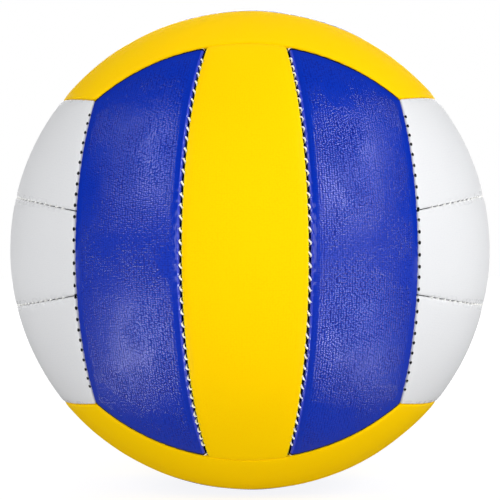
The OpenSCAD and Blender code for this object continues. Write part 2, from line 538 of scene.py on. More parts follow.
@dataclass
class Net:
    """Vertices and faces of a closed tray over a strip, before it is bent round the ball.

    The tray has fine rows along its edges, coarse squares inside them, side walls with a rim, and an inner
    skin.

    Attributes:
        width: Width of the strip between its seams.
        length: Length of the strip between its seams.
        gap: Distance from a seam to the tray's outline.
        rows: Distances of the fine rows from the outline, from 0.
        cell: Side of a coarse square.
        fine: Fine steps along the side of a coarse square.
        rings: Inset and depth of each ring of vertices from the outline down, round the rim and up inside.
        across: Distance of each vertex from the left side.
        along: Distance of each vertex from the lower end.
        depth: Depth of each vertex, where it isn't in the outer skin.
        faces: Vertex numbers of each face.
    """

    width: float
    length: float
    gap: float
    rows: Array
    cell: float
    fine: int
    rings: Profile

    across: Array = field(init=False)
    along: Array = field(init=False)
    depth: Array = field(init=False)
    faces: Faces = field(init=False)

    def __post_init__(self) -> None:
        """Lays out the outer skin, then the walls and the inner skin."""
        band, step = len(self.rows) - 1, self.fine
        x, y = self._stations(self.width), self._stations(self.length)
        i, j = np.meshgrid(np.arange(x.size), np.arange(y.size), indexing="ij")
        last_i, last_j = x.size - 1, y.size - 1
        inside = (i > band) & (i < last_i - band) & (j > band) & (j < last_j - band)
        coarse = ((i - band) % step == 0) & ((j - band) % step == 0)
        used = ~inside | coarse
        number = np.full(i.shape, -1)
        number[used] = np.arange(used.sum())
        self.across, self.along = x[i[used]], y[j[used]]
        self.depth = np.full(self.across.size, np.nan)
        fringe = (i < band) | (i >= last_i - band) | (j < band) | (j >= last_j - band)
        self.faces = self._quads(number)[fringe[:-1, :-1]].tolist()
        for a in range(band, last_i - band, step):
            for b in range(band, last_j - band, step):
                square = self._loop(a, a + step, b, b + step, 1)
                self.faces.append([int(number[at]) for at in square if used[at]])
        outline = self._loop(0, last_i, 0, last_j, 1)
        i, j = np.array(outline).T
        loop = number[i, j].tolist()
        for inset, depth in self.rings:
            rim_x, rim_y = self._drawn_in(x[i], self.width, inset), self._drawn_in(y[j], self.length, inset)
            ring = self._add(rim_x, rim_y, depth)
            walls = zip(loop, ring, ring[1:] + ring[:1], loop[1:] + loop[:1])
            self.faces += [list(wall) for wall in walls]
            loop = ring
        self._inner_skin(loop, outline, x, y)

    def _stations(self, size: float) -> Array:
        """Places of the rows over one side of the strip.

        Args:
            size: Length of the side.

        Returns:
            Distances from its start.
        """
        start = self.gap + self.rows[-1]
        count = self.fine * max(2, round((size - 2 * start) / self.cell))
        inner = np.linspace(start, size - start, count + 1)
        edge = self.gap + self.rows[:-1]
        return np.concatenate([edge, inner, size - edge[::-1]])

    @staticmethod
    def _quads(number: Array) -> Array:
        """Faces between the vertices of a grid, against the clock."""
        corners = [number[:-1, :-1], number[1:, :-1], number[1:, 1:], number[:-1, 1:]]
        return np.stack(corners, axis=-1)

    @staticmethod
    def _loop(i0: int, i1: int, j0: int, j1: int, step: int) -> list[tuple[int, int]]:
        """Places round a rectangle of rows, against the clock.

        Args:
            i0: First row across.
            i1: Last row across.
            j0: First row along.
            j1: Last row along.
            step: Rows from place to place.

        Returns:
            Row across and row along of each place.
        """
        walk = [(i, j0) for i in range(i0, i1, step)] + [(i1, j) for j in range(j0, j1, step)]
        return walk + [(i, j1) for i in range(i1, i0, -step)] + [(i0, j) for j in range(j1, j0, -step)]

    def _add(self, across: Array, along: Array, depth: float) -> list[int]:
        """Adds vertices at one depth.

        Args:
            across: Distance of each from the left side.
            along: Distance of each from the lower end.
            depth: Their depth.

        Returns:
            Their numbers.
        """
        first = self.across.size
        self.across = np.concatenate([self.across, across])
        self.along = np.concatenate([self.along, along])
        self.depth = np.concatenate([self.depth, np.full(across.size, depth)])
        return list(range(first, self.across.size))

    def _drawn_in(self, place: Array, size: float, inset: float) -> Array:
        """Draws the places near either end of a side in, evenly over the fine rows.

        Args:
            place: Places along the side.
            size: Length of the side.
            inset: How far the outermost ones move.

        Returns:
            The new places.
        """
        reach = self.rows[-1]
        near = np.minimum(place, size - place) - self.gap
        moved = inset + near * (reach - inset) / reach
        near_new = np.where(near < reach, moved, near) + self.gap
        return np.where(place < size / 2, near_new, size - near_new)

    def _inner_skin(self, loop: list[int], outline: list[tuple[int, int]], x: Array, y: Array) -> None:
        """Adds the coarse skin inside the tray and joins it to the last ring.

        Args:
            loop: Vertices of the last ring.
            outline: Row across and row along of each of them.
            x: Places of the rows across.
            y: Places of the rows along.
        """
        band, step = len(self.rows) - 1, self.fine
        last_i, last_j = x.size - 1, y.size - 1
        grid = np.meshgrid(x[band:last_i - band + 1:step], y[band:last_j - band + 1:step], indexing="ij")
        skin = self._add(grid[0].ravel(), grid[1].ravel(), self.rings[-1][1])
        number = np.array(skin).reshape(grid[0].shape)
        self.faces += self._quads(number)[..., [0, 3, 2, 1]].reshape(-1, 4).tolist()
        index_of = {at: k for k, at in enumerate(outline)}
        pairs: list[tuple[int, int]] = []
        for a, b in self._loop(band, last_i - band, band, last_j - band, step):
            feet = []
            if b == band:
                feet.append((a, 0))
            if a == last_i - band:
                feet.append((last_i, b))
            if b == last_j - band:
                feet.append((a, last_j))
            if a == band:
                feet.append((0, b))
            if a == band and b == band:
                feet.reverse()
            inner = int(number[(a - band) // step, (b - band) // step])
            pairs += [(inner, index_of[foot]) for foot in feet]
        for (inner, start), (inner_next, stop) in zip(pairs, pairs[1:] + pairs[:1]):
            count = (stop - start) % len(loop)
            outer = [loop[(start + n) % len(loop)] for n in range(count, -1, -1)]
            foot = [inner] if inner_next == inner else [inner, inner_next]
            self.faces.append([outer[-1], *foot, *outer[:-1]])


def lathe(profile: Profile, sides: int = 64) -> tuple[Array, Faces]:
    """Turns a profile about the ball's Z axis.

    Args:
        profile: Radii and heights, from the axis outside round to the axis.
        sides: Number of flat sides.

    Returns:
        Points, one in each row, and the vertex numbers of each face.
    """
    turns = np.arange(sides) * 2 * math.pi / sides
    points: list[tuple[float, float, float]] = []
    rings: Faces = []
    for radius, height in profile:
        spots = turns[: sides if radius else 1]
        rings.append(list(range(len(points), len(points) + spots.size)))
        points += [(radius * math.cos(t), radius * math.sin(t), height) for t in spots]
    faces: Faces = []
    for low, high in zip(rings, rings[1:]):
        for k in range(sides):
            after = (k + 1) % sides
            face = [low[k % len(low)], low[after % len(low)], high[after % len(high)], high[k % len(high)]]
            faces.append(list(dict.fromkeys(face)))
    return np.array(points), faces


def add_object(name: str, points: Array, faces: Faces) -> bpy.types.Object:
    """Makes an object with a mesh of its own and puts it into the scene.

    Args:
        name: Name of both.
        points: Vertices, one in each row.
        faces: Vertex numbers of each face.

    Returns:
        The new object.
    """
    mesh = bpy.data.meshes.new(name)
    mesh.from_pydata(points.tolist(), [], faces)
    piece = bpy.data.objects.new(name, mesh)
    bpy.context.scene.collection.objects.link(piece)
    return piece


def add_piece(name: str, points: Array, faces: Faces, material: Material, slot: str) -> bpy.types.Object:
    """Makes a smooth piece of the ball that stands for a node of the frame.

    Args:
        name: Name of the piece and of the node that it replaces.
        points: Vertices, one in each row.
        faces: Vertex numbers of each face.
        material: Finish of the piece.
        slot: The record's slot for that finish; not used.

    Returns:
        The new object, which rides on the ball.
    """
    piece = add_object(name, points, faces)
    mesh = piece.data
    mesh.polygons.foreach_set("use_smooth", [True] * len(mesh.polygons))
    mesh.materials.append(material)
    mesh.validate()
    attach(piece, BODY)
    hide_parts(name)
    LOG.info("%s: %d vertices, %d faces", name, len(mesh.vertices), len(mesh.polygons))
    return piece


def add_attribute(piece: bpy.types.Object, name: str, kind: str, values: Array) -> None:
    """Stores values on a piece's vertices for its finish to read."""
    layer = piece.data.attributes.new(name, kind, "POINT")
    layer.data.foreach_set("vector" if kind == "FLOAT_VECTOR" else "value", values.astype(np.float32).ravel())


class Nodes:
    """Node tree of a material or of the world, built a node at a time."""

    def __init__(self, owner: Material | bpy.types.World, shader: str = "Principled BSDF") -> None:
        """Opens the tree.

        Args:
            owner: What the tree belongs to.
            shader: The node in it, besides its output.
        """
        owner.use_nodes = True
        self.owner, self.tree = owner, owner.node_tree
        self.shader = self.tree.nodes[shader]

    def put(self, node: bpy.types.Node, inputs: dict[int | str, object]) -> None:
        """Links outputs to a node's inputs, or sets the inputs to plain values.

        Args:
            node: The node.
            inputs: Output or plain value for each input.
        """
        for key, value in inputs.items():
            if isinstance(value, Socket):
                self.tree.links.new(value, node.inputs[key])
            else:
                node.inputs[key].default_value = value

    def add(self, kind: str, inputs: dict[int | str, object], **settings: object) -> bpy.types.Node:
        """Adds a node.

        Args:
            kind: Type of the node.
            inputs: Output or plain value for each of its inputs.
            settings: Its properties.

        Returns:
            The new node.
        """
        node = self.tree.nodes.new("ShaderNode" + kind)
        for key, value in settings.items():
            setattr(node, key, value)
        self.put(node, inputs)
        return node

    def dress(self, inputs: dict[str, object]) -> Material | bpy.types.World:
        """Fills the shader's inputs and gives the owner of the tree."""
        self.put(self.shader, inputs)
        return self.owner

    def math(self, operation: str, one: object, two: object) -> Socket:
        """Result of a Math node on two values or outputs."""
        return self.add("Math", {0: one, 1: two}, operation=operation).outputs[0]

    def ramp(self, value: object, low: float, high: float, to_low: object = 0, to_high: object = 1,
             kind: str = "SMOOTHSTEP") -> Socket:
        """Maps a range of values to another.

        Args:
            value: What to map.
            low: Value at which the range begins.
            high: Value at which it ends.
            to_low: Result at its beginning and before.
            to_high: Result at its end and beyond.
            kind: How the result goes from one to the other.

        Returns:
            The result.
        """
        inputs = dict(enumerate((value, low, high, to_low, to_high)))
        return self.add("MapRange", inputs, interpolation_type=kind).outputs[0]

    def noise(self, vector: object, scale: float, detail: float = 2, output: str = "Fac") -> Socket:
        """Value or colour of a noise texture."""
        return self.add("TexNoise", {"Vector": vector, "Scale": scale, "Detail": detail}).outputs[output]

    def varied(self, noise: object, value: float, spread: tuple[float, float]) -> Socket:
        """A value with what a noise adds to it, at least and at most."""
        return self.ramp(noise, 0.3, 0.7, value + spread[0], value + spread[1])

    def cells(self, vector: object, scale: float, spread: float = 1.0, flat: bool = False) -> Socket:
        """Distance from the middles of a cell texture."""
        inputs = {"Vector": vector, "Scale": scale, "Randomness": spread}
        return self.add("TexVoronoi", inputs, voronoi_dimensions="2D" if flat else "3D").outputs["Distance"]

    def warped(self, vector: object, scale: float, amount: float) -> Socket:
        """Moves a vector by a noise.

        Args:
            vector: The vector.
            scale: Scale of the noise.
            amount: How far it moves the vector.

        Returns:
            The moved vector.
        """
        noise = self.noise(vector, scale, output="Color")
        inputs = {0: noise, 1: (amount, amount, amount), 2: vector}
        return self.add("VectorMath", inputs, operation="MULTIPLY_ADD").outputs[0]

    def stretched(self, vector: object, turn: float, scale: tuple[float, float, float]) -> Socket:
        """Turns a vector in its own plane, then scales it."""
        return self.add("Mapping", {"Vector": vector, "Rotation": (0, 0, turn), "Scale": scale}).outputs[0]

    def blend(self, share: object, one: object, two: object) -> Socket:
        """Mixes two colours."""
        return self.add("Mix", {0: share, 6: one, 7: two}, data_type="RGBA").outputs[2]

    def attribute(self, name: str, output: str = "Fac") -> Socket:
        """Reads what add_attribute stored."""
        return self.add("Attribute", {}, attribute_name=name).outputs[output]

    def place(self) -> Socket:
        """Place in the object's own frame."""
        return self.add("TexCoord", {}).outputs["Object"]

    def bump(self, height: object, depth: float, strength: object) -> Socket:
        """Normal of a relief of that depth."""
        return self.add("Bump", {"Strength": strength, "Distance": depth, "Height": height}).outputs[0]


def rgb(red: int, green: int, blue: int) -> Colour:
    """Linear colour from screen values.

    Args:
        red: Red, from 0 to 255.
        green: Green, likewise.
        blue: Blue, likewise.

    Returns:
        The colour, with full cover.
    """
    screen = [value / 255 for value in (red, green, blue)]
    line = [v / 12.92 if v <= 0.04045 else ((v + 0.055) / 1.055) ** 2.4 for v in screen]
    return (line[0], line[1], line[2], 1.0)


def shaded(colour: Colour, share: float, added: float = 0.0) -> Colour:
    """A darker or paler tone of a colour."""
    red, green, blue = (min(1.0, share * value + added) for value in colour[:3])
    return (red, green, blue, 1.0)


@dataclass(frozen=True)
class Leather:
    """Grained synthetic leather of the panels.

    Attributes:
        name: Name of the material.
        face: Colour of the leather.
        deep: Painted shade: a darker colour laid in the valleys of its grain and along its drawn edges.
        painted_highlight: Painted highlight: a paler colour laid over the rolled edges of the strip seams.
        relief: Depth of the grain.
        rough: Roughness.
        shine: Specular level.
        gap_shade: Painted shade: near-black colour of the cut walls in the seams and of the stitch holes.
        grains: Grains to a millimetre.
        stretch: How much denser the grains stand across the strip, along it and in depth.
        bends: Scale and amount of the coarse and the fine noise that bend the rows of grains.
        uneven: How unevenly the grains stand, from 0 to 1.
        valley: Distance from a grain's middle at which its valley begins, and at which it is full.
        valley_shade: How much of the painted shade a valley takes.
        creases: Scale of the long creases across the strip, along it and in depth.
        crease_turn: Their turn in the sheet.
        crease: Their depth, as a share of the grain's.
        patch: Scale of the patches of weaker grain.
        patches: Noise at which a patch ends, and at which the grain is full, and its strength in a patch.
        drawn: Millimetres from the edge at which the grain starts, and at which it is full.
        smoothed: Shares of the grain and of the roughness that are left nearer to the edge.
        fringe: Millimetres from the edge at which the painted shade starts to clear, and at which it is gone,
        and the share of the plain colour before that.
        fold: Millimetres from a fold at which the painted highlight begins, and at which it is full.
        rim: Millimetres from the edge between which the painted highlight fades in.
        lip: Millimetres from the edge between which the painted shade of the gap gives way to the leather.
        gloss: Scale of the unevenness of its gloss.
        wear: What that adds to the roughness, at least and at most.
    """

    name: str
    face: Colour
    deep: Colour
    painted_highlight: Colour
    relief: float
    rough: float
    shine: float
    gap_shade: Colour = rgb(5, 6, 12)
    grains: float = 1.14
    stretch: tuple[float, float, float] = (0.84, 1.04, 1)
    bends: tuple[tuple[float, float], ...] = ((0.3, 0.6), (0.9, 0.3))
    uneven: float = 0.5
    valley: tuple[float, float] = (0.3, 0.6)
    valley_shade: float = 0.8
    creases: tuple[float, float, float] = (0.16, 0.45, 1)
    crease_turn: float = 0.35
    crease: float = 0.05
    patch: float = 0.055
    patches: tuple[float, float, float] = (0.36, 0.64, 0.6)
    drawn: tuple[float, float] = (1.4, 4.2)
    smoothed: tuple[float, float] = (0.08, 0.6)
    fringe: tuple[float, float, float] = (1, 3.6, 0.7)
    fold: tuple[float, float] = (1.1, 0.5)
    rim: tuple[float, float] = (-0.1, 0.1)
    lip: tuple[float, float] = (-0.35, -0.08)
    gloss: float = 0.12
    wear: tuple[float, float] = (-0.04, 0.05)

    def material(self) -> Material:
        """Builds the leather's nodes.

        Returns:
            A material that reads the sheet, edge and fold attributes of a panel, in millimetres.
        """
        n = Nodes(bpy.data.materials.new(self.name))
        sheet, edge, fold = n.attribute("sheet", "Vector"), n.attribute("edge"), n.attribute("fold")
        flow = n.warped(sheet, *self.bends[0])
        cloth = n.stretched(n.warped(flow, *self.bends[1]), 0, self.stretch)
        off = n.cells(cloth, self.grains, self.uneven, flat=True)
        pebble = n.math("SUBTRACT", 1, n.math("MULTIPLY", off, off))
        wrinkle = n.noise(n.stretched(flow, self.crease_turn, self.creases), 1)
        grain = n.math("ADD", pebble, n.math("MULTIPLY", wrinkle, self.crease))
        patch = n.ramp(n.noise(sheet, self.patch), *self.patches, 1)
        strength = n.math("MULTIPLY", patch, n.ramp(edge, *self.drawn, self.smoothed[0], 1))
        # Painted shade: the deep colour darkens the grain's valleys and the band along the drawn edges.
        valley = n.math("MULTIPLY", n.ramp(off, *self.valley), strength)
        deep = n.math("MULTIPLY", valley, self.valley_shade)
        tone = n.math("SUBTRACT", n.ramp(edge, *self.fringe, 1), deep)
        # Painted highlight: a paler colour over the rolled edges of the strip seams.
        rolled = n.math("MULTIPLY", n.ramp(fold, *self.fold), n.ramp(edge, *self.rim))
        skin = n.blend(rolled, n.blend(tone, self.deep, self.face), self.painted_highlight)
        dull = n.varied(n.noise(sheet, self.gloss, 3), self.rough, self.wear)
        return n.dress({
            "Normal": n.bump(grain, self.relief, strength),
            # Painted shade: near-black below the rolled edge, on the cut walls, in the stitch holes and at
            # the blue ends.
            "Base Color": n.blend(n.ramp(edge, *self.lip), self.gap_shade, skin),
            "Roughness": n.math("MULTIPLY", dull, n.ramp(edge, *self.drawn, self.smoothed[1], 1)),
            "Specular IOR Level": self.shine,
        })


@dataclass(frozen=True)
class Fibre:
    """Twisted polyester thread.

    Attributes:
        name: Name of the material.
        face: Colour of the fibres.
        rough: Roughness.
        shine: Specular level.
        shade: Tone of the painted shade in the hollows between the fibres.
        hollows: Noise at which a hollow ends, and at which a fibre begins.
        strands: Scale of the fibres round the thread, along it and in depth.
        lay: Turn of the fibres.
        relief: Depth and strength of their relief.
    """

    name: str
    face: Colour
    rough: float = 0.75
    shine: float = 0.25
    shade: float = 0.72
    hollows: tuple[float, float] = (0.3, 0.6)
    strands: tuple[float, float, float] = (6, 1.2, 6)
    lay: float = 0.6
    relief: tuple[float, float] = (0.04 * MM, 0.6)

    def material(self) -> Material:
        """Builds fine fibres.

        Returns:
            A material that reads the twist attribute of a thread, in millimetres.
        """
        n = Nodes(bpy.data.materials.new(self.name))
        strands = n.noise(n.stretched(n.attribute("twist", "Vector"), self.lay, self.strands), 1, 3)
        return n.dress({
            "Normal": n.bump(strands, *self.relief),
            # Painted shade in the hollows between the fibres.
            "Base Color": n.blend(n.ramp(strands, *self.hollows), shaded(self.face, self.shade), self.face),
            "Roughness": self.rough,
            "Specular IOR Level": self.shine,
        })


@dataclass(frozen=True)
class Rubber:
    """Moulded rubber of the bladder and the valve.

    Attributes:
        name: Name of the material.
        face: Colour of the rubber.
        rough: Roughness.
        speck: Scale of the dust and pits, to a metre.
        specks: Noise at which the clean rubber ends, and at which it is all dust.
        dusty: How much paler the dust is, and what it adds.
        wear: What the dust adds to the roughness, at least and at most.
        relief: Depth and strength of the relief.
    """

    name: str
    face: Colour
    rough: float
    speck: float = 2200
    specks: tuple[float, float] = (0.45, 0.75)
    dusty: tuple[float, float] = (1.8, 0.01)
    wear: tuple[float, float] = (-0.06, 0.1)
    relief: tuple[float, float] = (0.03 * MM, 0.5)

    def material(self) -> Material:
        """Builds a dusty, faintly pitted rubber.

        Returns:
            Its material, which goes by the place in the piece.
        """
        n = Nodes(bpy.data.materials.new(self.name))
        dust = n.noise(n.place(), self.speck, 3)
        return n.dress({
            "Normal": n.bump(dust, *self.relief),
            "Base Color": n.blend(n.ramp(dust, *self.specks), self.face, shaded(self.face, *self.dusty)),
            "Roughness": n.varied(dust, self.rough, self.wear),
        })


@dataclass(frozen=True)
class Foam:
    """Closed-cell foam behind the leather.

    Attributes:
        name: Name of the material.
        face: Colour of the foam.
        cell: Cells to a metre.
        shade: Tone of the painted shade inside a cell.
        walls: Distance from a cell's middle at which its wall begins, and at which it is full.
        relief: Depth and strength of the cells' relief.
        rough: Roughness.
        gloss: Scale of the unevenness of its gloss, to a metre.
        wear: What that adds to the roughness, at least and at most.
    """

    name: str
    face: Colour
    cell: float = 1600
    shade: float = 0.6
    walls: tuple[float, float] = (0.1, 0.7)
    relief: tuple[float, float] = (0.1 * MM, 0.7)
    rough: float = 0.8
    gloss: float = 300
    wear: tuple[float, float] = (0, 0.15)

    def material(self) -> Material:
        """Builds small cells over a pale foam.

        Returns:
            Its material, which goes by the place in the piece.
        """
        n = Nodes(bpy.data.materials.new(self.name))
        place = n.place()
        cell = n.cells(place, self.cell)
        return n.dress({
            "Normal": n.bump(cell, *self.relief),
            # Painted shade in the hollows of the cells.
            "Base Color": n.blend(n.ramp(cell, *self.walls), shaded(self.face, self.shade), self.face),
            "Roughness": n.varied(n.noise(place, self.gloss), self.rough, self.wear),
        })


@dataclass
class Valve:
    """Rubber valve in the top face's middle strip: a body with neck, flange and socket, and its core.

    Attributes:
        ball_r: Radius of the ball.
        neck_r: Radius of the neck.
        neck_gap: Play of the neck in the leather's hole.
        neck_inset: How far the neck ends below the ball's surface.
        body_r: Radius of the body below the flange.
        body_l: Length of the body with its neck.
        flange_r: Radius of the flange.
        flange_t: Thickness of the flange.
        flange_top: Distance of the flange's outer side from the ball's centre.
        core_r: Radius of the core.
        core_l: Length of the core.
        core_gap: Play of the core in its socket.
        needle_r: Radius of the needle hole.
        needle_l: Length of its straight part.
        funnel: Depth of the funnel above it, and how much wider its mouth is.
        round_r: Radius of the rounded edges.
        domed: Points of the profile over either side of the flange.
        crease: Angle from which an edge is drawn sharp.
    """

    ball_r: float
    neck_r: float = 3.3 * MM
    neck_gap: float = 0.4 * MM
    neck_inset: float = 0.5 * MM
    body_r: float = 4.5 * MM
    body_l: float = 19 * MM
    flange_r: float = 13 * MM
    flange_t: float = 1 * MM
    flange_top: float = 100.85 * MM
    core_r: float = 2.3 * MM
    core_l: float = 15 * MM
    core_gap: float = 0.05 * MM
    needle_r: float = 1 * MM
    needle_l: float = 12 * MM
    funnel: float = 0.6 * MM
    round_r: float = 0.35 * MM
    domed: int = 7
    crease: float = math.radians(50)

    @property
    def top(self) -> float:
        """Height of the neck's end above the ball's centre."""
        return self.ball_r - self.neck_inset

    @staticmethod
    def bend(centre: tuple[float, float], radius: float, start: float, stop: float,
             steps: int = 6) -> Profile:
        """Arc of a profile.

        Args:
            centre: Radius and height of the arc's centre.
            radius: Radius of the arc.
            start: Angle at which it starts, in degrees from straight out.
            stop: Angle at which it ends.
            steps: Number of its pieces.

        Returns:
            Radii and heights of its points.
        """
        turns = np.radians(np.linspace(start, stop, steps + 1))
        return [(centre[0] + radius * math.cos(t), centre[1] + radius * math.sin(t)) for t in turns]

    def build(self, body: Material, core: Material) -> None:
        """Makes the valve body and its core.

        Args:
            body: Finish of the body.
            core: Finish of the core.
        """
        parts = {"valve_body": (self._body(), body), "valve_core": (self._core(), core)}
        for name, (profile, material) in parts.items():
            piece = add_piece(name, *lathe(profile), material, "valve_rubber")
            piece.data.set_sharp_from_angle(angle=self.crease)

    def _dome(self, height: float, start: float, stop: float) -> Profile:
        """Part of a profile at an even distance from the ball's centre."""
        return [(r, math.sqrt(height**2 - r**2)) for r in np.linspace(start, stop, self.domed)]

    def _body(self) -> Profile:
        """Profile of the body.

        Returns:
            Its base, waist, domed flange, neck, rounded mouth and socket.
        """
        low, top, r = self.top - self.body_l, self.top, self.round_r
        flange_edge = self.flange_r - r
        socket_r = self.core_r + self.core_gap
        floor = top - self.core_l - self.core_gap
        rim = math.sqrt(self.flange_top**2 - self.flange_r**2) - self.flange_t / 2
        return [
            (0, low),
            *self.bend((self.body_r - r, low + r), r, -90, 0),
            *self._dome(self.flange_top - self.flange_t, self.body_r, flange_edge),
            *self.bend((flange_edge, rim), r, -60, 60),
            *self._dome(self.flange_top, flange_edge, self.neck_r),
            *self.bend((self.neck_r - r, top - r), r, 0, 90),
            *self.bend((socket_r + r / 2, top - r / 2), r / 2, 90, 180, 3),
            (socket_r, floor),
            (0, floor),
        ]

    def _core(self) -> Profile:
        """Profile of the core.

        Returns:
            A plug with a dished face, a funnel and the needle hole.
        """
        low, top, r = self.top - self.core_l, self.top, self.round_r / 2
        throat = top - self.funnel
        floor = throat - self.needle_l
        return [
            (0, low),
            *self.bend((self.core_r - r, low + r), r, -90, 0, 3),
            *self.bend((self.core_r - r, top - r), r, 0, 90, 3),
            *self.bend((self.needle_r + self.funnel, top - r), r, 90, 150, 3),
            (self.needle_r, throat),
            (self.needle_r, floor),
            (0, floor - self.needle_r / 2),
        ]


@dataclass(frozen=True)
class Edge:
    """How a panel falls towards a seam: a rolled edge, and a wider slope above it.

    Attributes:
        roll: Radius of the rolled edge.
        fall: Depth of the slope.
        reach: Width of the slope.
    """

    roll: float
    fall: float
    reach: float = 2.3 * MM

    def depth(self, near: Array) -> Array:
        """Depth of the leather at a distance from the seam's gap."""
        left = np.clip(1 - near / self.roll, 0, 1)
        return self.roll * (1 - np.sqrt(1 - left**2)) + self.fall * bell(near, self.reach)


@dataclass(frozen=True)
class Mark:
    """Rounded mark that each stitch leaves in the leather beside its seam.

    Attributes:
        size: Size of the mark at its middle: its depth, or how far it spreads the painted shade of the gap.
        length: Half its length along the seam.
        off: Distance of its middle from the panel's edge.
        width: Half its width away from the seam.
    """

    size: float
    length: float
    off: float
    width: float

    def at(self, along: Array, off: Array) -> Array:
        """Size of the mark at a distance from the stitch along the seam, and from the edge."""
        return self.size * bell(along, self.length) * bell(off - self.off, self.width)

    def between(self, along: Array, off: Array) -> Array:
        """Size of a mark that lies between the stitches, where this one has its ends."""
        return self.size * (1 - bell(along, self.length)) * bell(off - self.off, self.width)


@dataclass
class Cover:
    """The 18 leather panels.

    Attributes:
        layout: Seam pattern.
        valve: Valve, which takes a hole in the top middle panel.
        seam_gap: Gap between the panels for which the nets are laid out.
        low_gap: Gap between the panels below their rolled edges.
        skin_t: Thickness of the leather.
        wall_h: Height of the turned-in edges.
        lip_low: Depth at which the rolled edge gives way to the wall.
        lip_step: Depth from there to the first ring of the wall.
        corner_r: Radius of the panels' corners.
        rows: Distances of the nets' fine rows from the outline, in millimetres.
        cell: Side of a coarse square of the nets.
        fine: Fine steps to a coarse square.
        strip_edge: Edge along a strip seam.
        white_edge: The same on the white strips.
        border_edge: Edge along a border.
        blue_end: How much shorter the blue strips are at their ends.
        blue_end_shadow: Width of the painted shadow, in the near-black gap colour, along those ends.
        stitch_shift: How far along the seam a stitch's holes lie from its middle.
        stitch_reach: Distance from the edge up to which a stitch marks the leather.
        pocket: Mark where the thread goes in.
        pocket_lean: How far that mark slants along the seam for each step away from it.
        dip: Wide hollow round a stitch.
        swell: Rise between two stitches.
        hole: How far the painted shade of the gap spreads into a stitch's hole, at the ends of the white
            strips.
        pull: How far a stitch draws the edge to the seam, over which length and width.
        settle: Unevenness of the whole panel.
        pucker: Finer unevenness near its edges.
        pucker_w: How far from the edge that one reaches.
        calm_w: Width along the edge that has no unevenness.
        valve_dip: Depth and width of the hollow round the valve.
        punch: Profile of the valve's hole: millimetres beyond its radius and above the ball's surface.
        crease: Angle from which an edge of that hole is drawn sharp.
        apart: Millimetres from panel to panel in the leather's pattern.
        no_fold: Millimetres that a border gives as the distance to a fold, since it has none.
    """

    layout: Layout
    valve: Valve
    seam_gap: float = 0.42 * MM
    low_gap: float = 0.12 * MM
    skin_t: float = 1.1 * MM
    wall_h: float = 3.1 * MM
    lip_low: float = 2.25 * MM
    lip_step: float = 0.1 * MM
    corner_r: float = 1.3 * MM
    rows: tuple[float, ...] = (0, 0.05, 0.16, 0.33, 0.55, 0.82, 1.15, 1.55, 2.05, 2.7, 3.4, 4.4)
    cell: float = 1.7 * MM
    fine: int = 3
    strip_edge: Edge = Edge(0.85 * MM, 0.45 * MM)
    white_edge: Edge = Edge(0.8 * MM, 0.22 * MM)
    border_edge: Edge = Edge(0.9 * MM, 0.22 * MM)
    blue_end: float = 0.34 * MM
    blue_end_shadow: float = 2.1 * MM
    stitch_shift: float = 0.8 * MM
    stitch_reach: float = 8 * MM
    pocket: Mark = Mark(0.45 * MM, 0.5 * MM, 0.3 * MM, 0.6 * MM)
    pocket_lean: float = 0.8
    dip: Mark = Mark(0.1 * MM, 1.1 * MM, 0, 2.6 * MM)
    swell: Mark = Mark(0.05 * MM, 1.5 * MM, 1.2 * MM, 1.3 * MM)
    hole: Mark = Mark(1.7 * MM, 0.85 * MM, 0.62 * MM, 0.42 * MM)
    pull: tuple[float, float, float] = (0.05 * MM, 0.8 * MM, 1.3 * MM)
    settle: Swell = Swell(0.06 * MM, 16 * MM, 5)
    pucker: Swell = Swell(0.03 * MM, 3.5 * MM, 9)
    pucker_w: float = 2.5 * MM
    calm_w: float = 1.2 * MM
    valve_dip: tuple[float, float] = (0.3 * MM, 6 * MM)
    punch: tuple[tuple[float, float], ...] = ((0, -6), (0, -0.75), (0.5, -0.2), (1.2, 1))
    crease: float = math.radians(40)
    apart: float = 170
    no_fold: float = 9

    def build(self, finishes: dict[Hue, Material]) -> None:
        """Makes the panels, face by face.

        Args:
            finishes: The leather of each colour.
        """
        cuts = {strip: Cut(self.layout, strip is Strip.MIDDLE) for strip in Strip}
        nets = {strip: self._net(cut) for strip, cut in cuts.items()}
        for face in Face:
            for strip in Strip:
                self._build_panel(face, strip, cuts[strip], nets[strip], finishes[face.hue(strip)])

    def _net(self, cut: Cut) -> Net:
        """Net of a panel: rows crowd together round its edge.

        Args:
            cut: Shape of the strip.

        Returns:
            The net, while it is flat.
        """
        rings = [(0, self.lip_low + self.lip_step), (0, self.wall_h), (self.skin_t, self.wall_h),
                 (self.skin_t, self.skin_t)]
        rows = np.array(self.rows) * MM
        return Net(cut.width, cut.length, self.seam_gap / 2, rows, self.cell, self.fine, rings)

    def _round_corners(self, net: Net, cut: Cut) -> tuple[Array, Array]:
        """Bends the rows of a net round its corners.

        Args:
            net: The net, while it is flat.
            cut: Shape of its strip.

        Returns:
            New places of its vertices across the strip and along it.
        """
        rounded = self.corner_r + self.seam_gap / 2
        left_x, left_y = (rounded - near for near in cut.margins(net.across, net.along))
        corner = (left_x > 0) & (left_y > 0)
        longer = np.maximum(left_x, left_y)
        shrink = np.where(corner, longer / np.maximum(np.hypot(left_x, left_y), 1e-12), 1)
        move_x = np.where(corner, left_x * (1 - shrink), 0)
        move_y = np.where(corner, left_y * (1 - shrink), 0)
        return (net.across + np.where(net.across < cut.width / 2, move_x, -move_x),
                net.along + np.where(net.along < cut.length / 2, move_y, -move_y))

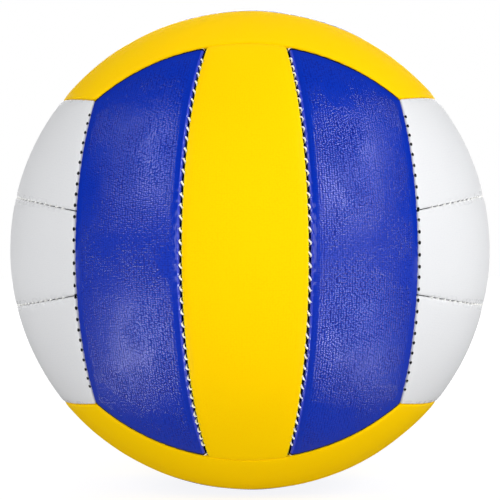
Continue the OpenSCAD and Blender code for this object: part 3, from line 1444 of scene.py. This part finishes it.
    def _build_panel(self, face: Face, strip: Strip, cut: Cut, net: Net, finish: Material) -> None:
        """Bends a net round the ball, draws its stitched edges in and dresses it.

        Args:
            face: Face of the panel.
            strip: Place of the panel in its face.
            cut: Shape of the strip.
            net: Vertices and faces of the panel while it is flat.
            finish: Its leather.
        """
        name, hue = "panel_" + face.strip_name(strip), face.hue(strip)
        ball_r = self.layout.ball_r
        holds_valve = face is Face.TOP and strip is Strip.MIDDLE
        near_x, near_y = (near - self.seam_gap / 2 for near in cut.margins(net.across, net.along))
        near = np.maximum(np.minimum(near_x, near_y), 0)
        ways = face.turned(cut.ways(*self._round_corners(net, cut)), strip)
        outer = np.isnan(net.depth)
        dent, moved, hole_shade = self._stitched(ways, ~outer, face, strip)
        at_border = (net.across > cut.width / 2) & (strip is not Strip.MIDDLE)
        beside = self.white_edge if hue is Hue.WHITE else self.strip_edge
        depth_x = np.where(at_border, self.border_edge.depth(near_x), beside.depth(near_x))
        depth = greater(depth_x, self.border_edge.depth(near_y))
        rough = self.settle.at(ways * ball_r) + self.pucker.at(ways * ball_r) * np.exp(-near / self.pucker_w)
        depth = np.minimum(depth + dent + rough * smooth(near / self.calm_w), self.lip_low)
        if holds_valve:
            height, width = self.valve_dip
            depth = depth + height * bell(np.hypot(ways[:, 0], ways[:, 1]) * ball_r, width)
        depth = np.where(outer, depth, net.depth)
        points = moved * (ball_r - np.maximum(depth, 0))[:, None]
        piece = add_piece(name, points, net.faces, finish, hue.value)
        start = self.apart * (len(Strip) * face.number + strip.value)
        sheet = [net.across / MM + start, net.along / MM, np.zeros(near.size)]
        # Painted shadow: the edge value drops below zero along the blue ends and in the stitch holes, giving
        # the near-black gap colour.
        skin = np.minimum(near_x, near_y - (self.blue_end_shadow if hue is Hue.BLUE else 0)) - hole_shade
        add_attribute(piece, "sheet", "FLOAT_VECTOR", np.stack(sheet, axis=-1))
        add_attribute(piece, "edge", "FLOAT", np.where(outer, skin / MM, -1))
        # Distance from the strip seams, which places the painted highlight; the borders get none.
        add_attribute(piece, "fold", "FLOAT", np.where(at_border, self.no_fold, near_x / MM))
        if holds_valve:
            self._punch(piece)

    def _stitched(self, ways: Array, low: Array, face: Face, strip: Strip) -> tuple[Array, Array, Array]:
        """What the stitches do to the leather near them.

        Args:
            ways: Directions of the panel's points.
            low: Which of them lie below the rolled edges.
            face: Face of the panel.
            strip: Place of the panel in its face.

        Returns:
            How deep each point is drawn, its direction once it is pulled towards the seam, and how far the
            painted shade of the gap spreads there.
        """
        dent, hole_shade, moved = np.zeros(len(ways)), np.zeros(len(ways)), ways.copy()
        pull, pull_l, pull_w = self.pull
        for seam in self.layout.seams_round(face, strip):
            short = self.blue_end if face.hue(strip) is Hue.BLUE and seam.owner is not face else 0
            travel, aside = seam.read(ways)
            side = np.sign(aside)
            off = np.abs(aside) - self.seam_gap / 2
            close = off < self.stitch_reach
            places, force = seam.stitches
            start = travel - side * self.stitch_shift
            count = (places.size - 1) // 2
            nearest = np.clip(np.round(start / seam.pitch), -count, count).astype(int) + count
            along = start - places[nearest]
            hard = np.where(close, force[nearest], 0)
            # Painted shade: the stitch holes at the ends of the white strips take the near-black gap colour.
            if seam.owner in (Face.FRONT, Face.BACK) and seam.owner is not face:
                hole_shade += np.where(close, self.hole.at(along, off), 0)
            slant = along - side * self.pocket_lean * (off - self.pocket.off)
            marks = self.pocket.at(slant, off) + self.dip.at(along, off) - self.swell.between(along, off)
            dent += hard * seam.bite * marks
            gap = np.where(low, self.low_gap, seam.gap + 2 * short)
            draw = hard * (pull - seam.slot) * bell(along, pull_l) * ~low + (self.seam_gap - gap) / 2
            draw = draw * bell(np.maximum(off, 0), pull_w)
            away = ways * (ways @ seam.axis)[:, None] - seam.axis
            away /= np.linalg.norm(away, axis=1, keepdims=True)
            moved -= (side * draw / seam.ball_r)[:, None] * away
        return dent, moved / np.linalg.norm(moved, axis=1, keepdims=True), hole_shade

    def _punch(self, piece: bpy.types.Object) -> None:
        """Cuts the valve's hole, with a small chamfer.

        Args:
            piece: Panel that holds the valve.
        """
        hole_r, top = self.valve.neck_r + self.valve.neck_gap, self.layout.ball_r
        wall = [(hole_r + wider * MM, top + rise * MM) for wider, rise in self.punch]
        punch = add_object("punch", *lathe([(0, wall[0][1]), *wall, (0, wall[-1][1])]))
        cut = piece.modifiers.new("hole", "BOOLEAN")
        cut.object = punch
        cut.operation = "DIFFERENCE"
        cut.solver = "EXACT"
        graph = bpy.context.evaluated_depsgraph_get()
        holed = bpy.data.meshes.new_from_object(piece.evaluated_get(graph))
        piece.modifiers.clear()
        piece.data = holed
        holed.set_sharp_from_angle(angle=self.crease)
        bpy.data.objects.remove(punch)


@dataclass
class Backing:
    """The foam behind each panel: a thin curved pad with rounded edges.

    Attributes:
        layout: Seam pattern.
        inset: Distance of a pad from the seams round it.
        top: Depth of its outer side.
        thick: Its thickness.
        rows: Distances of the net's fine rows from the outline, in millimetres.
        cell: Side of a coarse square of the net.
        edge_r: Fall and inset of its rounded edges.
        edge_w: Width over which the outer side falls.
        waist: Depth of its widest line, as a share of its thickness.
    """

    layout: Layout
    inset: float = 1.55 * MM
    top: float = 1.3 * MM
    thick: float = 1.9 * MM
    rows: tuple[float, ...] = (0, 0.35, 1.2, 2.4)
    cell: float = 4 * MM
    edge_r: float = 0.35 * MM
    edge_w: float = 1.2 * MM
    waist: float = 0.8

    def build(self, material: Material) -> None:
        """Makes one pad for each panel.

        Args:
            material: Finish of the pads.
        """
        for face in Face:
            for strip in Strip:
                self._build_pad(face, strip, material)

    def _build_pad(self, face: Face, strip: Strip, material: Material) -> None:
        """Bends a coarse tray with no hollow round the ball.

        Args:
            face: Face of the pad.
            strip: Place of the pad in its face.
            material: Its finish.
        """
        cut = Cut(self.layout, strip is Strip.MIDDLE)
        rings = [(0, self.top + self.thick * self.waist), (self.edge_r, self.top + self.thick)]
        net = Net(cut.width, cut.length, self.inset, np.array(self.rows) * MM, self.cell, 1, rings)
        near = np.minimum(*cut.margins(net.across, net.along)) - self.inset
        outside = self.top + self.edge_r * (1 - smooth(near / self.edge_w))
        depth = np.where(np.isnan(net.depth), outside, net.depth)
        ways = face.turned(cut.ways(net.across, net.along), strip)
        points = ways * (self.layout.ball_r - depth)[:, None]
        pad = add_piece("foam_" + face.strip_name(strip), points, net.faces, material, "backing")


@dataclass
class Stitching:
    """The seam threads: each winds over a seam and under it, from hole to hole.

    Attributes:
        layout: Seam pattern.
        thread_r: Radius of the thread.
        reach: Distance of its holes from the seam.
        shift: Distance of its holes from the stitch's middle, along the seam.
        middle_depth: Depth at which it goes through the leather.
        rise: How far a stitch stands above that depth.
        sink: How far the thread dips below that depth between the stitches.
        slack: Height of a stitch that isn't pulled, and how much a full pull takes from it.
        bends: Exponents of the wave over the seam and under it: the lower, the squarer.
        last_turn: Share of the last stitch's wave that is sewn.
        twist: Length of one twist of its plies.
        ply: How far the two plies stand out, as a share of its radius.
        lean: How far the thread's sides lean along the seam where it stands upright.
        rings: Rings of vertices to a stitch.
        sides: Vertices to a ring.
    """

    layout: Layout
    thread_r: float = 0.35 * MM
    reach: float = 0.4 * MM
    shift: float = 0.8 * MM
    middle_depth: float = 1.5 * MM
    rise: float = 1.0 * MM
    sink: float = 1.3 * MM
    slack: tuple[float, float] = (1.06, 0.08)
    bends: tuple[float, float] = (0.9, 0.45)
    last_turn: float = 0.75
    twist: float = 2.2 * MM
    ply: float = 0.13
    lean: float = 0.15
    rings: int = 22
    sides: int = 8

    def build(self, material: Material) -> None:
        """Makes the thread pieces of each face: its two strip seams, and its two long borders.

        Args:
            material: Finish of the threads.
        """
        for face in Face:
            for kind, seams in self.layout.face_seams(face).items():
                tubes, twists = zip(*(self._wind(seam) for seam in seams))
                first = [0, len(tubes[0])]
                faces = [quad for tube, at in zip(tubes, first) for quad in self._tube_faces(len(tube), at)]
                name = f"{kind}_thread_{face.title}"
                piece = add_piece(name, np.concatenate(tubes), faces, material, "thread")
                add_attribute(piece, "twist", "FLOAT_VECTOR", np.concatenate(twists))

    def _route(self, seam: Seam) -> Array:
        """Centre line of the thread along one seam.

        Args:
            seam: The seam to sew.

        Returns:
            One point in each row.
        """
        places, force = seam.stitches
        travel: list[float] = []
        turn: list[float] = []
        height: list[float] = []
        for k in range(places.size - 1, -1, -1):
            before = places[k - 1] if k else places[k] - seam.pitch
            for n in range(self.rings if k else int(self.rings * self.last_turn)):
                w = 2 * n / self.rings
                over = places[k] + self.shift * (1 - 2 * w)
                under = (places[k] - self.shift) * (2 - w) + (before + self.shift) * (w - 1)
                travel.append(over if w < 1 else under)
                turn.append(math.pi * w)
                height.append(self.slack[0] - self.slack[1] * force[k])
        t, s = np.array(turn), np.array(height)
        wave = np.sign(np.sin(t)) * np.abs(np.sin(t)) ** np.where(np.sin(t) > 0, *self.bends)
        depth = self.middle_depth - np.where(wave > 0, (self.rise - seam.sunk) * s, self.sink) * wave
        return seam.place(np.array(travel), self.reach * np.cos(t), depth)

    def _wind(self, seam: Seam) -> tuple[Array, Array]:
        """Tube of two twisted plies along the thread's centre line.

        Args:
            seam: The seam to sew.

        Returns:
            The tube's vertices, ring by ring, and their places round and along the thread in millimetres.
        """
        line = self._route(seam)
        ahead = np.gradient(line, axis=0)
        ahead /= np.linalg.norm(ahead, axis=1, keepdims=True)
        up = line / np.linalg.norm(line, axis=1, keepdims=True)
        sideways = np.cross(ahead, up) + self.lean * np.cross(ahead, seam.along)
        sideways /= np.linalg.norm(sideways, axis=1, keepdims=True)
        for k in range(1, len(sideways)):
            if sideways[k] @ sideways[k - 1] < 0:
                sideways[k] *= -1
        upwards = np.cross(sideways, ahead)
        steps = np.linalg.norm(np.diff(line, axis=0), axis=1)
        travel = np.concatenate([[0], np.cumsum(steps)])[:, None]
        around = np.arange(self.sides) * 2 * math.pi / self.sides
        lobes = np.cos(2 * (around - 2 * math.pi * travel / self.twist / 2))
        radius = self.thread_r * (1 + self.ply * lobes)
        out = (radius * np.cos(around))[..., None] * sideways[:, None, :]
        out = out + (radius * np.sin(around))[..., None] * upwards[:, None, :]
        spots = np.broadcast_arrays(around * self.thread_r / MM, travel / MM, 0.0)
        return (line[:, None, :] + out).reshape(-1, 3), np.stack(spots, axis=-1).reshape(-1, 3)

    def _tube_faces(self, size: int, first: int) -> Faces:
        """Faces of a tube and its two ends.

        Args:
            size: Number of its vertices.
            first: Number of the first one.

        Returns:
            Vertex numbers of each face.
        """
        ring = np.arange(self.sides)
        after = np.roll(ring, -1)
        starts = np.arange(first, first + size - self.sides, self.sides)[:, None]
        nexts = starts + self.sides
        walls = np.stack([starts + ring, nexts + ring, nexts + after, starts + after], axis=-1)
        last = first + size - self.sides
        return walls.reshape(-1, 4).tolist() + [(first + ring).tolist(), (last + ring)[::-1].tolist()]


@dataclass(frozen=True)
class Lamp:
    """Soft rectangular lamp.

    Attributes:
        name: Name of the lamp.
        turn: Its direction from the ball, to the right of -Y, in degrees.
        rise: Its height above the ball's middle, in degrees.
        width: Width.
        height: Height.
        level: Brightness of a white surface that faces it, where no other light falls.
    """

    name: str
    turn: float
    rise: float
    width: float
    height: float
    level: float


@dataclass
class Studio:
    """Pale floor, soft lamps and the camera.

    Attributes:
        ball_r: Radius of the ball.
        camera_r: Distance of the camera from the ball's centre, in ball radii.
        camera_turn: Its direction from the ball, to the right of -Y.
        camera_rise: Its height above the ball's middle.
        camera_roll: Its turn about its own axis.
        half_view: Tangent of half its angle of view.
        sensor: Width of its sensor, in millimetres.
        floor_r: Radius of the floor.
        floor_sides: Corners of the floor.
        floor_grey: How much of the light the floor gives back by itself.
        floor_white: Distances from the middle at which the floor starts to whiten and is white, and its level
            before that.
        floor_mirrored: Distances at which a gloss starts to show the floor's white, and shows it in full.
        floor_rough: Roughness of the floor.
        fill: Brightness of the world as a light.
        mirrored_fill: Brightness of the world in a gloss, away from the backdrop.
        backdrop: Cosines of the angles from +Y at which a gloss meets the backdrop, and sees it in full.
        lamp_reach: Distance of the lamps from the ball's centre.
        lamps: The lamps.
    """

    ball_r: float
    camera_r: float = 5.068
    camera_turn: float = math.radians(1.0)
    camera_rise: float = math.radians(0.8)
    camera_roll: float = math.radians(-0.15)
    half_view: float = 0.2099
    sensor: float = 36
    floor_r: float = 2.5
    floor_sides: int = 96
    floor_grey: float = 0.2
    floor_white: tuple[float, float, float] = (0.12, 0.9, 0.88)
    floor_mirrored: tuple[float, float] = (0.3, 1.5)
    floor_rough: float = 0.9
    fill: float = 0.5
    mirrored_fill: float = 0.05
    backdrop: tuple[float, float] = (math.cos(math.radians(40)), math.cos(math.radians(20)))
    lamp_reach: float = 1.2
    lamps: tuple[Lamp, ...] = (
        Lamp("upper_right", 49, 33, 0.3, 0.42, 0.38),
        Lamp("upper_left", -47, 35, 0.28, 0.42, 0.25),
        Lamp("lower_right", 51, -33, 0.3, 0.36, 0.33),
        Lamp("lower_left", -57, -37, 0.32, 0.38, 0.34),
        Lamp("right", 40, 0, 0.3, 0.4, 0.09),
        Lamp("front", 0, 6, 0.5, 0.5, 0.11),
        Lamp("rear", 180, 12, 0.8, 0.8, 0.4),
    )

    def build(self) -> None:
        """Sets the camera, the floor, the world and the lamps."""
        self._camera()
        floor = self._floor()
        self._world()
        passed = bpy.data.collections.new("passed_by_light")
        passed.objects.link(floor)
        passed.collection_objects[0].light_linking.link_state = "EXCLUDE"
        for lamp in self.lamps:
            self._lamp(lamp, passed)

    def _place(self, turn: float, rise: float, reach: float) -> Vector:
        """Point round the ball, from its turn to the right of -Y and its height, in radians."""
        flat = math.cos(rise)
        return Vector((math.sin(turn) * flat, -math.cos(turn) * flat, math.sin(rise))) * reach

    def _camera(self) -> None:
        """Camera at the photograph's viewing angle, aimed at the ball's centre."""
        data = bpy.data.cameras.new("camera")
        data.sensor_width = self.sensor
        data.lens = self.sensor / 2 / self.half_view
        camera = bpy.data.objects.new("camera", data)
        place = self._place(self.camera_turn, self.camera_rise, self.camera_r * self.ball_r)
        aim = (-place).to_track_quat("-Z", "Y").to_matrix().to_4x4()
        camera.matrix_world = Matrix.Translation(place) @ aim @ Matrix.Rotation(self.camera_roll, 4, "Z")
        bpy.context.scene.collection.objects.link(camera)
        bpy.context.scene.camera = camera

    def _lamp(self, lamp: Lamp, passed: bpy.types.Collection) -> None:
        """Sets a lamp up, facing the ball.

        Args:
            lamp: The lamp.
            passed: What its light passes, so that it hides none of the ball from the lamp.
        """
        data = bpy.data.lights.new(lamp.name, "AREA")
        data.shape = "RECTANGLE"
        data.size, data.size_y = lamp.width, lamp.height
        data.energy = lamp.level * (math.pi * self.lamp_reach) ** 2
        light = bpy.data.objects.new(lamp.name, data)
        light.location = self._place(math.radians(lamp.turn), math.radians(lamp.rise), self.lamp_reach)
        light.rotation_mode = "QUATERNION"
        light.rotation_quaternion = (-light.location).to_track_quat("-Z", "Y")
        light.light_linking.blocker_collection = passed
        light.visible_camera = False
        bpy.context.scene.collection.objects.link(light)

    @staticmethod
    def _seen(n: Nodes, mirrored: Socket) -> Socket:
        """White for the camera, and where a gloss or a glass would show the backdrop.

        Args:
            n: Node tree of the world or of the floor.
            mirrored: How much of the white a gloss or a glass shows in a direction or place.

        Returns:
            Share of white, from 0 to 1.
        """
        path = n.add("LightPath", {}).outputs
        total = path["Is Camera Ray"]
        for name in ("Is Glossy Ray", "Is Transmission Ray"):
            total = n.math("MAXIMUM", total, n.math("MULTIPLY", path[name], mirrored))
        return total

    def _world(self) -> None:
        """White background over a softer fill."""
        world = bpy.data.worlds.new("studio")
        n = Nodes(world, "Background")
        way = n.add("SeparateXYZ", {0: n.add("TexCoord", {}).outputs["Generated"]}).outputs
        glossy = n.add("LightPath", {}).outputs["Is Glossy Ray"]
        around = n.ramp(glossy, 0, 1, self.fill, self.mirrored_fill, "LINEAR")
        seen = self._seen(n, n.ramp(way["Y"], *self.backdrop))
        n.dress({"Color": (1, 1, 1, 1), "Strength": n.ramp(seen, 0, 1, around, 1, "LINEAR")})
        bpy.context.scene.world = world

    def _floor(self) -> bpy.types.Object:
        """Round pale floor that the ball rests on. It fades to the background's white.

        Returns:
            The floor, which is no piece of the part.
        """
        turns = np.arange(self.floor_sides) * 2 * math.pi / self.floor_sides
        rim = np.stack([self.floor_r * np.cos(turns), self.floor_r * np.sin(turns),
                        np.full(turns.size, -self.ball_r)], axis=-1)
        floor = add_object("floor", rim, [list(range(self.floor_sides))])
        floor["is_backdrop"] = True
        n = Nodes(bpy.data.materials.new("pale_floor"))
        reach = n.add("VectorMath", {0: n.place()}, operation="LENGTH").outputs["Value"]
        fade = n.ramp(reach, *self.floor_white, 1)
        floor.data.materials.append(n.dress({
            "Base Color": (self.floor_grey, self.floor_grey, self.floor_grey, 1),
            "Roughness": self.floor_rough,
            "Specular IOR Level": 0.0,
            "Emission Color": (1, 1, 1, 1),
            "Emission Strength": n.math("MULTIPLY", fade, self._seen(n, n.ramp(reach, *self.floor_mirrored))),
        }))
        return floor


def leathers() -> dict[Hue, Material]:
    """The leathers of the panels.

    Returns:
        The finish of each colour.
    """
    # Each leather gets its plain colour, a painted shade for its grain valleys and edges, and a painted
    # highlight for its rolled edges.
    blue = Leather(Hue.BLUE.value, rgb(3, 49, 182), rgb(0, 22, 130), rgb(55, 72, 205), 0.28 * MM, 0.16, 0.48)
    yellow = Leather(Hue.YELLOW.value, rgb(255, 208, 0), rgb(255, 203, 0), rgb(255, 222, 20),
                     0.03 * MM, 0.6, 0.02)
    white = Leather(Hue.WHITE.value, rgb(227, 228, 230), rgb(224, 225, 228), rgb(227, 228, 230),
                    0.03 * MM, 0.45, 0.1)
    return {Hue.BLUE: blue.material(), Hue.YELLOW: yellow.material(), Hue.WHITE: white.material()}


def main() -> None:
    """Builds the ball and the studio round it."""
    logging.basicConfig(level=logging.INFO, format="%(name)s: %(message)s")
    cad_low, cad_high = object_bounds()
    ball_r = (cad_high.x - cad_low.x) / 2
    layout = Layout(ball_r)
    Studio(ball_r).build()
    valve = Valve(ball_r)
    valve.build(Rubber("valve_rubber", rgb(30, 30, 32), 0.55).material(),
                Rubber("core_rubber", rgb(52, 56, 60), 0.5).material())
    Cover(layout, valve).build(leathers())
    Backing(layout).build(Foam("foam_backing", rgb(236, 228, 205)).material())
    Stitching(layout).build(Fibre("seam_thread", rgb(250, 250, 247)).material())
    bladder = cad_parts["bladder"]
    bladder.data.materials.clear()
    bladder.data.materials.append(Rubber("bladder_rubber", rgb(70, 68, 66), 0.6, 900).material())
    bpy.context.scene.view_settings.view_transform = "Standard"


if __name__ == "__main__":
    main()
